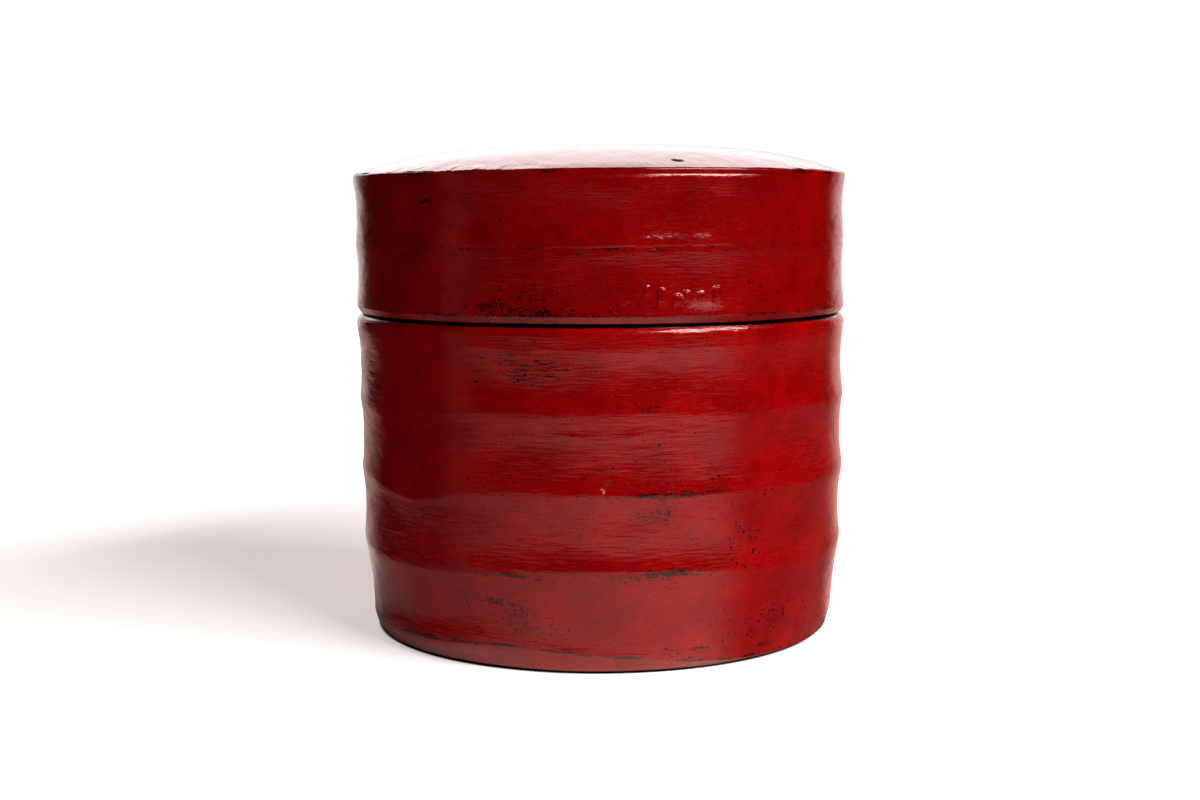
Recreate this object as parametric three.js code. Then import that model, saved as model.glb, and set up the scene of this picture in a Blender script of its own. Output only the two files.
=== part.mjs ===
// A round lacquered box with a slip-on lid. The wall is built up from bent splint bands, stacked and
// lapped into each other; every lap stands out as a soft ridge, and each band is hollowed in between.
// A thin collar inside the mouth guides the lid. Millimetres, +Z up, origin on the floor under the axis.
import * as THREE from "three";

// Outside radius at the mouth, where lid and body meet, and the thickness of a band.
const MOUTH_RADIUS = 100;
const BAND_THICKNESS = 5;

// Height of the body from the floor to its rim, and of the bands below the rim band, from the floor up.
const BODY_HEIGHT = 128;
const FOOT_BAND_HEIGHT = 36.5;
const LOWER_BAND_HEIGHT = 30;
const UPPER_BAND_HEIGHT = 29.3;

// How far each ridge lies inside the mouth's radius, and how far the foot draws in.
const LOWER_RIDGE_INSET = 1.4;
const MIDDLE_RIDGE_INSET = 0.7;
const UPPER_RIDGE_INSET = 0.5;
const FOOT_INSET = 4.8;

// Depth of the hollow between two ridges, and of the longer hollow above the foot.
const HOLLOW_DEPTH = 1.1;
const FOOT_HOLLOW_DEPTH = 0.9;

// Lap between two bands: the upper band's tongue drops into the lower band's rebate.
const LAP_HEIGHT = 4;
const TONGUE_THICKNESS = 2.3;
const GLUE_GAP = 0.3;

// Foot: a rounded edge that draws in to a flat ring, and an inner ledge that carries the base board.
const FOOT_ROUND_HEIGHT = 8;
const FOOT_ROUND_WIDTH = 3.6;
const LEDGE_WIDTH = 4;
const LEDGE_HEIGHT = 3;
const BASE_BOARD_THICKNESS = 6;
const BASE_BOARD_CHAMFER = 0.8;

// Rounded edges of the two mouths, which form the groove between lid and body.
const RIM_ROUND_WIDTH = 2.6;
const RIM_ROUND_HEIGHT = 3;
const LIP_WIDTH = 2.6;
const LIP_HEIGHT = 2.8;

// Collar bonded inside the rim band, standing up into the lid.
const COLLAR_THICKNESS = 2.4;
const COLLAR_BOND_HEIGHT = 22;
const COLLAR_STAND = 15;
const COLLAR_EDGE_ROUND = 1;
const LID_SLIP_CLEARANCE = 0.6;

// Lid: two bands and a domed crown. At rest the lid lies one seat gap above the body's rim, and its
// height runs from there to the crown's edge.
const LID_SEAT_GAP = 0.3;
const LID_HEIGHT = 56.7;
const LID_RIM_BAND_HEIGHT = 28;
const LID_RIDGE_INSET = 0.4;
const CROWN_INSET = 0.2;
const CROWN_EDGE_HEIGHT = 3.5;
const CROWN_EDGE_ROUND = 1.8;
const CROWN_RISE = 10.6;
const CROWN_FULLNESS = 3;
const CROWN_THICKNESS = 5.5;
const SPIGOT_DEPTH = 4.5;
const SPIGOT_WIDTH = 4;

// Facets: sides around the axis, and the longest facet along a curved stretch of a profile.
const SIDES = 60;
const FACET_LENGTH = 5.5;
const FEWEST_STEPS = 3;

const redLacquer = new THREE.MeshStandardMaterial({ color: 0xa31412, roughness: 0.3, metalness: 0 });
const blackLacquer = new THREE.MeshStandardMaterial({ color: 0x17110f, roughness: 0.4, metalness: 0 });

// Radii that several pieces share.
const boreRadius = MOUTH_RADIUS - BAND_THICKNESS;
const tongueRadius = boreRadius + TONGUE_THICKNESS;
const footRadius = MOUTH_RADIUS - FOOT_INSET;
const wellRadius = footRadius - BAND_THICKNESS;
const collarRadius = boreRadius - GLUE_GAP;
const lidBoreRadius = collarRadius + LID_SLIP_CLEARANCE;
const lidTongueRadius = lidBoreRadius + TONGUE_THICKNESS;
const crownRadius = MOUTH_RADIUS - CROWN_INSET;

// Levels of the joints, from the floor up.
const lowerRidgeLevel = FOOT_BAND_HEIGHT;
const middleRidgeLevel = lowerRidgeLevel + LOWER_BAND_HEIGHT;
const upperRidgeLevel = middleRidgeLevel + UPPER_BAND_HEIGHT;
const rimLevel = BODY_HEIGHT;
const lidLevel = rimLevel + LID_SEAT_GAP;
const lidRidgeLevel = lidLevel + LID_RIM_BAND_HEIGHT;
const crownEdgeLevel = lidLevel + LID_HEIGHT;
const crownLevel = crownEdgeLevel - CROWN_EDGE_HEIGHT;

// Points along a profile, with straight stretches left whole and curves cut into short facets.
function profilePoints(path) {
  const points = [path.curves[0].getPoint(0)];
  for (const curve of path.curves) {
    const steps = curve.isLineCurve ? 1 : Math.max(FEWEST_STEPS, Math.ceil(curve.getLength() / FACET_LENGTH));
    points.push(...curve.getPoints(steps).slice(1));
  }
  return points;
}

// Turns a closed profile of (radius, height) about the Z axis and names the piece.
function turned(name, path, material) {
  const geometry = new THREE.LatheGeometry(profilePoints(path), SIDES);
  geometry.rotateX(Math.PI / 2);
  const mesh = new THREE.Mesh(geometry, material);
  mesh.name = name;
  return mesh;
}

// Outside of a band from its lower ridge to its upper one, drawn in by the hollow halfway up.
function hollowTo(path, radius, level, depth) {
  const start = path.currentPoint;
  const drawnIn = (start.x + radius) / 2 - 2 * depth;
  path.quadraticCurveTo(drawnIn, (start.y + level) / 2, radius, level);
  return path;
}

// Lower edge of a band, from the bore to the ridge: a tongue that drops into the band below.
function startAtTongue(bore, tongue, level, ridgeRadius) {
  const tip = level - LAP_HEIGHT + GLUE_GAP;
  const face = tongue - GLUE_GAP;
  return new THREE.Path()
    .moveTo(bore, tip)
    .lineTo(face, tip)
    .lineTo(face, level)
    .lineTo(ridgeRadius, level);
}

// Upper edge of a band, from the ridge back to the bore: a rebate that takes the tongue above.
function endAtRebate(path, bore, tongue, level) {
  return path
    .lineTo(tongue, level)
    .lineTo(tongue, level - LAP_HEIGHT)
    .lineTo(bore, level - LAP_HEIGHT);
}

// Foot band: rests on its flat lower ring and tapers in a long hollow up to the lowest ridge.
function footBand() {
  const ringRadius = footRadius - FOOT_ROUND_WIDTH;
  const ledgeRadius = wellRadius - LEDGE_WIDTH;
  const wellTop = LEDGE_HEIGHT + BASE_BOARD_THICKNESS;
  const path = new THREE.Path()
    .moveTo(ledgeRadius, 0)
    .lineTo(ringRadius, 0)
    .quadraticCurveTo(footRadius, 0, footRadius, FOOT_ROUND_HEIGHT);
  hollowTo(path, MOUTH_RADIUS - LOWER_RIDGE_INSET, lowerRidgeLevel, FOOT_HOLLOW_DEPTH);
  endAtRebate(path, boreRadius, tongueRadius, lowerRidgeLevel);
  path
    .lineTo(wellRadius, wellTop)
    .lineTo(wellRadius, LEDGE_HEIGHT)
    .lineTo(ledgeRadius, LEDGE_HEIGHT)
    .lineTo(ledgeRadius, 0);
  return turned("foot_band", path, redLacquer);
}

// A band between two ridges of the body.
function middleBand(name, bottom, top, bottomInset, topInset) {
  const path = startAtTongue(boreRadius, tongueRadius, bottom, MOUTH_RADIUS - bottomInset);
  hollowTo(path, MOUTH_RADIUS - topInset, top, HOLLOW_DEPTH);
  endAtRebate(path, boreRadius, tongueRadius, top);
  path.lineTo(boreRadius, bottom - LAP_HEIGHT + GLUE_GAP);
  return turned(name, path, redLacquer);
}

// Rim band: the body's mouth, with a rounded outer edge and a flat seat for the lid.
function rimBand() {
  const path = startAtTongue(boreRadius, tongueRadius, upperRidgeLevel, MOUTH_RADIUS - UPPER_RIDGE_INSET);
  hollowTo(path, MOUTH_RADIUS, rimLevel - RIM_ROUND_HEIGHT, HOLLOW_DEPTH);
  path
    .quadraticCurveTo(MOUTH_RADIUS, rimLevel, MOUTH_RADIUS - RIM_ROUND_WIDTH, rimLevel)
    .lineTo(boreRadius, rimLevel)
    .lineTo(boreRadius, upperRidgeLevel - LAP_HEIGHT + GLUE_GAP);
  return turned("rim_band", path, redLacquer);
}

// Base board: a round board that drops into the foot band and lies on its ledge.
function baseBoard() {
  const radius = wellRadius - GLUE_GAP;
  const top = LEDGE_HEIGHT + BASE_BOARD_THICKNESS;
  const path = new THREE.Path()
    .moveTo(0, LEDGE_HEIGHT)
    .lineTo(radius - BASE_BOARD_CHAMFER, LEDGE_HEIGHT)
    .lineTo(radius, LEDGE_HEIGHT + BASE_BOARD_CHAMFER)
    .lineTo(radius, top)
    .lineTo(0, top);
  return turned("base_board", path, blackLacquer);
}

// Mouth collar: a thin hoop bonded inside the rim band, which the lid slips over.
function mouthCollar() {
  const inner = collarRadius - COLLAR_THICKNESS;
  const bottom = rimLevel - COLLAR_BOND_HEIGHT;
  const top = rimLevel + COLLAR_STAND;
  const path = new THREE.Path()
    .moveTo(inner + COLLAR_EDGE_ROUND, bottom)
    .lineTo(collarRadius, bottom)
    .lineTo(collarRadius, top - COLLAR_EDGE_ROUND)
    .quadraticCurveTo(collarRadius, top, collarRadius - COLLAR_EDGE_ROUND, top)
    .lineTo(inner + COLLAR_EDGE_ROUND, top)
    .quadraticCurveTo(inner, top, inner, top - COLLAR_EDGE_ROUND)
    .lineTo(inner, bottom + COLLAR_EDGE_ROUND)
    .lineTo(inner + COLLAR_EDGE_ROUND, bottom);
  return turned("mouth_collar", path, blackLacquer);
}

// Lid rim band: the lid's mouth, with a flat seat and a lip that turns up to the wall.
function lidRimBand() {
  const path = new THREE.Path()
    .moveTo(lidBoreRadius, lidLevel)
    .lineTo(MOUTH_RADIUS - LIP_WIDTH, lidLevel)
    .quadraticCurveTo(MOUTH_RADIUS, lidLevel, MOUTH_RADIUS, lidLevel + LIP_HEIGHT);
  hollowTo(path, MOUTH_RADIUS - LID_RIDGE_INSET, lidRidgeLevel, HOLLOW_DEPTH);
  endAtRebate(path, lidBoreRadius, lidTongueRadius, lidRidgeLevel);
  path.lineTo(lidBoreRadius, lidLevel);
  return turned("lid_rim_band", path, redLacquer);
}

// Lid shoulder band: lapped into the rim band below, with a flat end that carries the crown.
function lidShoulderBand() {
  const path = startAtTongue(lidBoreRadius, lidTongueRadius, lidRidgeLevel, MOUTH_RADIUS - LID_RIDGE_INSET);
  hollowTo(path, crownRadius, crownLevel, HOLLOW_DEPTH);
  path
    .lineTo(lidBoreRadius, crownLevel)
    .lineTo(lidBoreRadius, lidRidgeLevel - LAP_HEIGHT + GLUE_GAP);
  return turned("lid_shoulder_band", path, redLacquer);
}

// Height of the crown's outside above its edge: flat in the middle, falling faster to the shoulder.
function crownHeight(radius) {
  return CROWN_RISE * (1 - (radius / crownRadius) ** CROWN_FULLNESS);
}

// The crown's curve between two radii, raised to a level, as a spline that a profile can hold.
function crownCurve(from, to, level) {
  const spans = Math.max(FEWEST_STEPS, Math.ceil(Math.abs(to - from) / (2 * FACET_LENGTH)));
  const points = [];
  for (let i = 0; i <= spans; i++) {
    const radius = from + ((to - from) * i) / spans;
    points.push(new THREE.Vector2(radius, level + crownHeight(radius)));
  }
  return points;
}

// Crown: a domed shell that lies on the shoulder band, held in place by a spigot inside the band.
function lidCrown() {
  const spigotRadius = lidBoreRadius - GLUE_GAP;
  const hollowRadius = spigotRadius - SPIGOT_WIDTH;
  const spigotLevel = crownLevel - SPIGOT_DEPTH;
  const shoulderRadius = crownRadius - CROWN_EDGE_ROUND;
  const outside = crownCurve(shoulderRadius, 0, crownEdgeLevel);
  const inside = crownCurve(0, hollowRadius, crownEdgeLevel - CROWN_THICKNESS);
  const path = new THREE.Path()
    .moveTo(hollowRadius, spigotLevel)
    .lineTo(spigotRadius, spigotLevel)
    .lineTo(spigotRadius, crownLevel)
    .lineTo(crownRadius, crownLevel)
    .lineTo(crownRadius, crownEdgeLevel - CROWN_EDGE_ROUND)
    .quadraticCurveTo(crownRadius, crownEdgeLevel, outside[0].x, outside[0].y);
  outside.slice(1).forEach((point) => path.lineTo(point.x, point.y));
  inside.forEach((point) => path.lineTo(point.x, point.y));
  path.lineTo(hollowRadius, spigotLevel);
  return turned("lid_crown", path, redLacquer);
}

const body = new THREE.Group();
body.add(
  footBand(),
  middleBand("lower_band", lowerRidgeLevel, middleRidgeLevel, LOWER_RIDGE_INSET, MIDDLE_RIDGE_INSET),
  middleBand("upper_band", middleRidgeLevel, upperRidgeLevel, MIDDLE_RIDGE_INSET, UPPER_RIDGE_INSET),
  rimBand(),
  baseBoard(),
  mouthCollar(),
);

const lid = new THREE.Group();
lid.add(lidRimBand(), lidShoulderBand(), lidCrown());

const box = new THREE.Group();
box.add(body, lid);

export default box;
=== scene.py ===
"""The looks of a round red lacquer box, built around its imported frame.

The box is made of bent splint hoops, stacked and lapped, under a black undercoat and a coat of red lacquer
that was brushed round the wall by hand. The sections follow its making: the hoops of the body from the foot
up, the base board, the collar, the hoops and the crown of the lid, then paper, light and camera.
"""
import math

import bpy
import numpy as np
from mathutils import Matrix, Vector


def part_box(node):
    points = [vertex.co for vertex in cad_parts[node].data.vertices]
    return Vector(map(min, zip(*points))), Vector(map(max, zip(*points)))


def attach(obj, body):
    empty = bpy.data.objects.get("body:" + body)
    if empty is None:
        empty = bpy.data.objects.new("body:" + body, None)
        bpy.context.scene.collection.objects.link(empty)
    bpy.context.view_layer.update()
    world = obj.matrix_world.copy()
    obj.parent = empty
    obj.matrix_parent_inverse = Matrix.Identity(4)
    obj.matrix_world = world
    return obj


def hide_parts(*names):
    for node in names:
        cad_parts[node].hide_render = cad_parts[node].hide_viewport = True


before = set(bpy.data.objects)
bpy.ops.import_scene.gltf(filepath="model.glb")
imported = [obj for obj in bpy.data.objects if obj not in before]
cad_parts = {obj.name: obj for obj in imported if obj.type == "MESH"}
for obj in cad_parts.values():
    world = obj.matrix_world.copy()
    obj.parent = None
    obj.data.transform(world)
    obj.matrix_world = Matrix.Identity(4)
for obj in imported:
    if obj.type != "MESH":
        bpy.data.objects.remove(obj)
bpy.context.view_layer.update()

# Foot hoop: shape
# The lowest hoop of bent splint. It draws in below its ridge and ends in a worn bevel and a flat ring, on
# which the box stands. A ledge inside carries the base board, a rebate takes the tongue of the hoop above.

MM = 0.001
COLUMNS = 800
FRONT_DENSITY = 0.6
GLUE_GAP = 0.3
LAP_HEIGHT = 4.0
TONGUE = 1.3
LARGEST = 99.95
# By level in millimetres: how far the wall leans to the right, and how far it is set in from the solids.
LEANING = (0, 30, 60, 100, 127, 184), (1.0, 1.02, 1.06, 0.9, 0.45, 0.0)
INSET = (0, 36, 70, 128, 184), (0.4, 0.4, 0.5, 0.5, 0.12)
OVAL = (2, 0.1, 90)
UNEVEN = 0.08
LUMPY = 0.015
BRUSHED = 0.006
CRINKLED = 0.016
KINKED = 0.06
# Azimuths go round from the front to the right. The columns stand closest at the front.
step = np.linspace(-math.pi, math.pi, COLUMNS, endpoint=False)
azimuth = step - FRONT_DENSITY * np.sin(step)


def reach(node):
    """Radius, lowest level and highest level of a node of the frame, in millimetres."""
    low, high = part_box(node)
    return high.x / MM, low.z / MM, high.z / MM


def ramp(value, low, high):
    """Rises smoothly from 0 at low to 1 at high: 3 t^2 - 2 t^3."""
    t = np.clip((value - low) / (high - low), 0, 1)
    return t * t * (3 - 2 * t)


def waves(u, v, most_turns, shortest, seed, count=48):
    """Unevenness of unit strength: the sum of cos(n u + k v + p) over random waves. n is a whole number up
    to most_turns, so that the sum closes round the axis, and the length 2 pi / k is shortest or more."""
    draw = np.random.default_rng(seed)
    n = draw.integers(-most_turns, most_turns + 1, count)
    k = draw.uniform(0.25, 1, count) * 2 * math.pi / shortest
    p = draw.uniform(0, 2 * math.pi, count)
    return sum(np.cos(n[i] * u + k[i] * v + p[i]) for i in range(count)) * math.sqrt(2 / count)


def swing(*terms):
    """A slow rise and fall round the axis: size * cos(n (azimuth - peak)), summed over (n, size, peak)."""
    return sum(size * np.cos(n * (azimuth - math.radians(peak))) for n, size, peak in terms)


def hollow(share, softness=0.35):
    """Depth of the hollow at a share s of the way between two ridges: 4 s (1 - s), rounded off at both."""
    arc = 4 * share * (1 - share)
    return (np.sqrt(arc ** 2 + softness ** 2) - softness) / (math.sqrt(1 + softness ** 2) - softness)


def hand_made(level, seed):
    """How far the wall stands off its true profile. It is oval and leans; random waves add the unevenness
    of the paste, the brush's marks where it was loaded, and kinks on the left, where the splints lap."""
    oval = swing(OVAL)
    leaning = np.interp(level, *LEANING) * np.sin(azimuth)
    uneven = UNEVEN * waves(azimuth, level, 12, 15, seed + 1)
    lumpy = LUMPY * waves(azimuth, level, 60, 7, seed + 4, 60)
    loaded = 0.35 + 0.8 * np.tanh(waves(azimuth, level, 9, 9, seed + 2, 30)) ** 2
    brushed = BRUSHED * loaded * waves(azimuth, level, 70, 1.9, seed + 3, 120)
    crinkled = CRINKLED * loaded * waves(azimuth, level, 45, 3.2, seed + 6, 80)
    kinked = KINKED * np.maximum(-np.sin(azimuth), 0) ** 6 * waves(azimuth, level, 34, 12, seed + 5)
    return oval + leaning + uneven + lumpy + brushed + crinkled + kinked


def skin(radius, level, low_lift, high_lift, seed):
    """Outside of a hoop as (radius, level) grids: a profile carried round the axis, lifted with the ridges
    at its two ends, set in a little from the frame's solids and made uneven by hand."""
    share = ((level - level[0]) / (level[-1] - level[0]))[:, None]
    levels = level[:, None] + (1 - share) * low_lift + share * high_lift
    inset = np.interp(level, *INSET)[:, None]
    return np.minimum(radius[:, None] - inset + hand_made(levels, seed), LARGEST), levels


def ring(radius, level, lift=0.0):
    """One row of a section: the same radius and level all round, lifted where it follows a ridge."""
    return np.full(COLUMNS, float(radius)), level + np.zeros(COLUMNS) + lift


def revolved(name, rows, corners, marks, material):
    """Closed mesh of a section turned about the axis. Row i, column j lies at (r sin a, -r cos a, z) for
    rows[i] = (r, z) and azimuth a of column j. Rows run up the outside; a row of no radius is a pole, and
    without poles the section closes on itself. Shading breaks at the rows in corners."""
    radius = np.array([r for r, z in rows])
    level = np.array([z for r, z in rows])
    count = len(rows)
    place = np.stack([radius * np.sin(azimuth), -radius * np.cos(azimuth), level], axis=-1)
    place = place.reshape(-1, 3) * MM
    index = np.arange(count * COLUMNS).reshape(count, COLUMNS)
    poles = radius.max(axis=1) < 1e-9
    index[poles] = index[poles][:, :1]
    upper = np.roll(index, -1, axis=0)
    corner = np.stack([index, np.roll(index, -1, 1), np.roll(upper, -1, 1), upper], axis=-1)
    if poles.any():
        corner = corner[:-1]
    quads = corner.reshape(-1, 4)
    used, quads = np.unique(quads, return_inverse=True)
    quads = quads.reshape(-1, 4)
    distinct = quads != np.roll(quads, 1, axis=1)
    sides = distinct.sum(axis=1)
    mesh = bpy.data.meshes.new(name)
    mesh.vertices.add(len(used))
    mesh.vertices.foreach_set("co", place[used].ravel())
    mesh.loops.add(int(sides.sum()))
    mesh.loops.foreach_set("vertex_index", quads[distinct])
    mesh.polygons.add(len(quads))
    mesh.polygons.foreach_set("loop_start", np.concatenate([[0], np.cumsum(sides)[:-1]]))
    mesh.update(calc_edges=True)
    mesh.shade_smooth()
    ends = np.empty(len(mesh.edges) * 2, int)
    mesh.edges.foreach_get("vertices", ends)
    row = used[ends].reshape(-1, 2) // COLUMNS
    sharp = (row[:, 0] == row[:, 1]) & np.isin(row[:, 0], np.array(corners) % count)
    mesh.edges.foreach_set("use_edge_sharp", sharp)
    for mark, values in marks.items():
        mesh.attributes.new(mark, "FLOAT", "POINT").data.foreach_set("value", values.ravel()[used])
    mesh.materials.append(material)
    piece = bpy.data.objects.new(name, mesh)
    bpy.context.scene.collection.objects.link(piece)
    return piece


# Foot hoop: finish
# Red lacquer brushed over a black undercoat. The red is deep and glossy with fine streaks along the brush's
# way; where it is rubbed through at ridges and edges, or left open in pits, the black shows. The same black
# and a darker red are also laid on as painted shade round the seam, at the heel, along the lid's crease and
# round the crown's blister, and the pale rubbed colour as a painted sheen along the heel.

BODY_REDS = "#880001", "#a20304"
RED_THIN_AND_SHADE = "#480304"
UNDERCOAT_AND_SHADE = "#080504"
RUBBED_AND_SHEEN = "#b0625a"
CHIPPED = "#d6c8b2"
SHEEN_TINT = "#ffc8c0"
LACQUER_IOR = 1.58
LACQUER_ROUGHNESS = (0.06, 0.26)
SCUFF_ROUGHNESS = 0.4
RELIEF = 0.04
# Sizes of patterns in millimetres. The hairs of a brush leave streaks of 0.3 mm and less, and cracks are
# thinner still. Both are too fine to show in the render, so they are drawn about three times as coarse.
CLOUD = 18.0
MOTTLE_LENGTH = 10.0
MOTTLE_HEIGHT = 6.0
STREAK_LENGTH = 9.0
STREAK_HEIGHT = 0.9
FRAY_LENGTH = 3.0
FRAY_HEIGHT = 0.8
SPECK = 0.9
CRACK_LENGTH = 5.0
CRACK_HEIGHT = 0.62
PIT_SPACING = 2.2
SPECK_SPACING = 1.3
PIT_SHARE = 0.3
MARKS = ("bare_and_shade", "pitted", "rubbed_and_sheen", "cracked")


def linear(colour):
    """Linear RGBA of an sRGB hex colour."""
    parts = [int(colour[i:i + 2], 16) / 255 for i in (1, 3, 5)]
    return [c / 12.92 if c <= 0.04045 else ((c + 0.055) / 1.055) ** 2.4 for c in parts] + [1.0]


def node(tree, kind, inputs=(), out=0, **settings):
    """Adds a shader node with its settings, sets or links its inputs, given in their order or under their
    keys, and gives one of its outputs."""
    made = tree.nodes.new("ShaderNode" + kind)
    for key, value in settings.items():
        setattr(made, key, value)
    for key, value in inputs.items() if isinstance(inputs, dict) else enumerate(inputs):
        if isinstance(value, bpy.types.NodeSocket):
            tree.links.new(value, made.inputs[key])
        else:
            made.inputs[key].default_value = value
    return None if out is None else made.outputs[out]


def blank(owner):
    """The emptied node tree of a material or a world."""
    owner.use_nodes = True
    owner.node_tree.nodes.clear()
    return owner.node_tree


def red_lacquer(name, along, reds, roughened=1.3):
    """Red lacquer whose streaks are long along the axes marked True and short along the others. Its
    colour is a pile of coats, each laid on by a share: the reds, rubbed places and painted sheen, undercoat
    and painted shade, and chips."""
    material = bpy.data.materials.new(name)
    tree = blank(material)
    place = node(tree, "TexCoord", out="Object")

    def grain(length, height, detail, roughness=0.55, out=0):
        """Noise in patches of that length along the brush and that height across it, in millimetres."""
        scale = [1 / (length * MM) if long else 1 / (height * MM) for long in along]
        spread = node(tree, "Mapping", {"Vector": place, "Scale": scale})
        inputs = {"Vector": spread, "Scale": 1.0, "Detail": detail, "Roughness": roughness}
        return node(tree, "TexNoise", inputs, out)

    def where(value, weight, base, low, high):
        """1 where value * weight + base lies above high, 0 where it lies below low, smooth between."""
        total = node(tree, "Math", (value, weight, base), operation="MULTIPLY_ADD")
        return node(tree, "MapRange", (total, low, high), interpolation_type="SMOOTHSTEP")

    bare_and_shade, pitted, rubbed_and_sheen, cracked = (
        node(tree, "Attribute", out="Fac", attribute_name=mark) for mark in MARKS)
    cloud = grain(CLOUD, CLOUD, 7, 0.62)
    streak = grain(STREAK_LENGTH, STREAK_HEIGHT, 3)
    mottle = grain(MOTTLE_LENGTH, MOTTLE_HEIGHT, 5, 0.65)
    fray = grain(FRAY_LENGTH, FRAY_HEIGHT, 3, 0.7)
    speck = grain(SPECK, SPECK, 2)
    both = node(tree, "Math", (fray, speck), operation="ADD")
    ragged = node(tree, "Math", (both, 0.5, -0.5), operation="MULTIPLY_ADD")

    shift = grain(SPECK, SPECK, 2, out=1)
    shift = node(tree, "VectorMath", {0: shift, "Scale": MM}, operation="SCALE")
    bent = node(tree, "VectorMath", (place, shift), operation="ADD")

    def pits(spacing):
        """Open pits, one to a cell of that spacing at most, in the share of cells that the mark allows."""
        inputs = {"Vector": bent, "Scale": 1 / (spacing * MM)}
        away = node(tree, "TexVoronoi", inputs, "Distance")
        drawn = node(tree, "SeparateColor", (node(tree, "TexVoronoi", inputs, "Color"),))
        chosen = node(tree, "Math", (drawn, pitted), operation="LESS_THAN")
        inside = where(away, -1.0, PIT_SHARE, 0.0, PIT_SHARE * 0.35)
        return node(tree, "Math", (inside, chosen), operation="MULTIPLY")

    crack = where(grain(CRACK_LENGTH, CRACK_HEIGHT, 2, 0.6), 1.0, 0.0, 0.58, 0.61)
    crack = node(tree, "Math", (crack, where(ragged, 1.0, cracked, 0.25, 0.4)), operation="MULTIPLY")
    black = where(ragged, 4.5, bare_and_shade, 0.5, 0.6)
    for opened in (crack, pits(PIT_SPACING), pits(SPECK_SPACING)):
        black = node(tree, "Math", (black, opened), operation="MAXIMUM")
    scuffs_and_sheen = where(ragged, 1.2, rubbed_and_sheen, 0.3, 0.85)
    half = node(tree, "Math", (scuffs_and_sheen, 0.5), operation="MULTIPLY")
    coats = (
        (where(streak, 0.15, cloud, 0.40, 0.76), reds[1]), (where(mottle, 1.0, 0.0, 0.5, 1.2), RED_THIN_AND_SHADE),
        (where(ragged, 1.4, bare_and_shade, 0.1, 0.6), RED_THIN_AND_SHADE), (half, RUBBED_AND_SHEEN), (black, UNDERCOAT_AND_SHADE),
        (where(rubbed_and_sheen, 1.0, 0.0, 1.2, 1.6), CHIPPED))
    colour = linear(reds[0])
    for share, coat in coats:
        colour = node(tree, "Mix", {0: share, 6: colour, 7: linear(coat)}, 2, data_type="RGBA")

    gloss = node(tree, "MapRange", (fray, 0.35, 0.65, *LACQUER_ROUGHNESS))
    gloss = node(tree, "Math", (scuffs_and_sheen, SCUFF_ROUGHNESS, gloss), operation="MULTIPLY_ADD")
    relief = node(tree, "Math", (speck, 0.2, fray), operation="MULTIPLY_ADD")
    relief = node(tree, "Math", (streak, 3.0, relief), operation="MULTIPLY_ADD")
    bump = node(tree, "Bump", {"Strength": roughened, "Distance": RELIEF * MM, "Height": relief})
    shader = node(tree, "BsdfPrincipled", {
        "Base Color": colour, "Roughness": gloss, "IOR": LACQUER_IOR, "Specular Tint": linear(SHEEN_TINT),
        "Normal": bump})
    node(tree, "OutputMaterial", {"Surface": shader}, None)
    return material


body_lacquer = red_lacquer("red_lacquer_on_body", (True, True, False), BODY_REDS)

# Foot hoop: making
# Its profile runs from the flat ring over heel and bevel up to the ridge. The bevel was cut by hand, taller
# on the left than on the right, and black wear follows its edge and the ridge. Spots are given as (azimuth,
# level, half width, half height, strength), and stretches round the wall as (start, end, fade).

RING_RADIUS = 91.9
HEEL_RADIUS = 93.4
HEEL_LEVEL = 0.9
HEEL_ROWS = 8
BEVEL_RADIUS = 95.15
BEVEL_LEVEL = 5.0
BEVEL_ROWS = 24
ARRIS_STEP = 2.9
ARRIS_STEEP = 3.4
ARRIS_TURN = math.radians(11)
ARRIS_SWING = (9, 0.15, 10)
ARRIS_HUMP = (-21, 13, 1.5)
ARRIS_FADED = 24
FOOT_HOLLOW = 0.75
LEFT_HOLLOW = 0.75
LEFT_HOLLOWED = (-76, -24, 12)
FLARE = 1.6
FLARE_ABOVE = 8.0
FLARE_BELOW = 4.5
FLARED = (-72, -22, 10)
TOE_IN = 1.7
TOE_HEIGHT = 9
TOED_IN = (62, 140, 22)
LEDGE_WIDTH = 4.0
LEDGE_HEIGHT = 3.0
LOWER_RIDGE = (2, 0.9, 3), (4, 1.6, 2)
BODY_SEED = 11
SKIN_ROWS = 112
# Black at which the red is nearly gone, laid on as painted shade at the heel and round the seam, wear at
# which none is left, and the share of pits where no spot is.
UNDERCOAT_AS_SHADE = 1.5
BLACKENED = 4.0
STRAY_PITS = 0.0015
LOWER_RIDGE_WEAR = (
    (6, 37.3, 7, 1.2, 0.4), (11, 37.6, 5, 1.6, 0.5), (16, 38.0, 7, 2.0, 0.6), (20, 38.2, 5, 0.9, 0.45),
    (-20, 36.9, 2.0, 0.8, 0.62), (-17, 36.4, 4, 0.9, 0.55), (-13, 35.6, 2.5, 0.9, 0.5),
    (-25, 36.6, 9, 0.5, 0.3), (13, 36.4, 15, 3.4, 0.3))
FOOT_WEAR = (
    (-24, 26.5, 7, 2.2, 0.46), (-20, 25.3, 5, 1.6, 0.46), (-17, 22, 9, 3, 0.3), (-17, 16, 9, 4, 0.22),
    (-44, 8.5, 9, 0.7, 0.5), (-33, 9.2, 8, 0.8, 0.5), (-23, 9.7, 6, 0.8, 0.5), (-8, 8.3, 4, 0.6, 0.5),
    (5, 6.3, 5, 0.6, 0.5), (41, 5.6, 6, 0.8, 0.42))
FOOT_PITS = (19, 7, 12, 4, 0.45), (40, 13, 20, 7, 0.42), (-18, 18, 22, 7, 0.3)
FOOT_CRACKS = (42, 17, 15, 8, 0.5), (22, 8, 12, 4, 0.4), (-20, 20, 26, 8, 0.3)
# Stretch of the heel's painted sheen, as (start, end, fade).
HEEL_PAINTED_SHEEN = (-32, 50, 12)

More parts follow.
